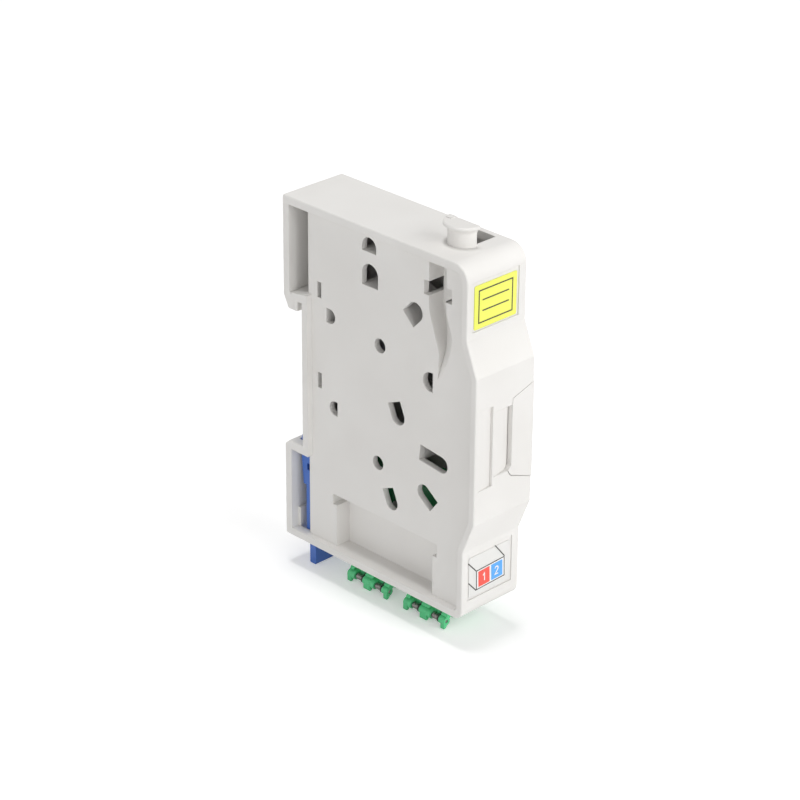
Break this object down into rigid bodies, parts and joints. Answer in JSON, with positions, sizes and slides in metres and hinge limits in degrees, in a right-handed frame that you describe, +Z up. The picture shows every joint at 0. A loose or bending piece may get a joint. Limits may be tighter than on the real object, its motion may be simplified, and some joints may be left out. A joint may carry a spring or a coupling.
{
  "type": "din rail fibre box",
  "caption": "Slim light grey fibre splice box for a 35 mm rail with green duplex couplers under sprung shutters.",
  "frame": {"origin": "middle of the rail seat, on the face that lies against the front of the rail", "axes": "+X along the rail towards the cover side, +Y into the rail, +Z up"},
  "size_m": [0.018, 0.0602, 0.0976],
  "materials": {
    "housing": "fine moulded",
    "latch": "fine moulded",
    "coupler": "satin",
    "ceramic": "polished",
    "washer": "black ring",
    "steel": "drawn",
    "yellow_label": "printed film",
    "white_label": "printed film"
  },
  "bodies": {
    "base": {"base_shell": "housing", "upper_label": "yellow_label", "lower_label": "white_label", "splice_holder": "latch", "latch_spring": "steel", "coupler_1_outer_half": "coupler", "coupler_1_inner_half": "coupler", "coupler_1_hinge_pin": "steel", "coupler_1_sleeve_a": "ceramic", "coupler_1_spring_a": "steel", "coupler_1_washer_a": "washer", "coupler_1_sleeve_b": "ceramic", "coupler_1_spring_b": "steel", "coupler_1_washer_b": "washer", "coupler_2_outer_half": "coupler", "coupler_2_inner_half": "coupler", "coupler_2_hinge_pin": "steel", "coupler_2_sleeve_a": "ceramic", "coupler_2_spring_a": "steel", "coupler_2_washer_a": "washer", "coupler_2_sleeve_b": "ceramic", "coupler_2_spring_b": "steel", "coupler_2_washer_b": "washer"},
    "latch": {"rail_latch": "latch"},
    "cover": {"side_cover": "housing"},
    "shutter_1a": {"coupler_1_shutter_a": "coupler"},
    "shutter_1b": {"coupler_1_shutter_b": "coupler"},
    "shutter_2a": {"coupler_2_shutter_a": "coupler"},
    "shutter_2b": {"coupler_2_shutter_b": "coupler"}
  },
  "joints": [
    {"name": "rail_latch_slide", "type": "slide", "parent": "base", "child": "latch", "axis": [0, 0, -1], "range_m": [0, 0.0032], "stiffness_N_per_m": 400, "springref_m": -0.002, "deforming": ["latch_spring"]},
    {"name": "side_cover_pull", "type": "slide", "parent": "base", "child": "cover", "axis": [1, 0, 0], "range_m": [0, 0.02]},
    {"name": "shutter_1a_hinge", "type": "hinge", "parent": "base", "child": "shutter_1a", "pos_m": [-0.0041, -0.0173, -0.0483], "axis": [0, 1, 0], "range_deg": [0, 100], "stiffness_Nm_per_rad": 0.0008, "springref_deg": -11.46},
    {"name": "shutter_1b_hinge", "type": "hinge", "parent": "base", "child": "shutter_1b", "pos_m": [-0.0041, -0.0173, -0.0483], "axis": [0, 1, 0], "range_deg": [0, 100], "stiffness_Nm_per_rad": 0.0008, "springref_deg": -11.46},
    {"name": "shutter_2a_hinge", "type": "hinge", "parent": "base", "child": "shutter_2a", "pos_m": [-0.0041, -0.03565, -0.0483], "axis": [0, 1, 0], "range_deg": [0, 100], "stiffness_Nm_per_rad": 0.0008, "springref_deg": -11.46},
    {"name": "shutter_2b_hinge", "type": "hinge", "parent": "base", "child": "shutter_2b", "pos_m": [-0.0041, -0.03565, -0.0483], "axis": [0, 1, 0], "range_deg": [0, 100], "stiffness_Nm_per_rad": 0.0008, "springref_deg": -11.46}
  ]
}
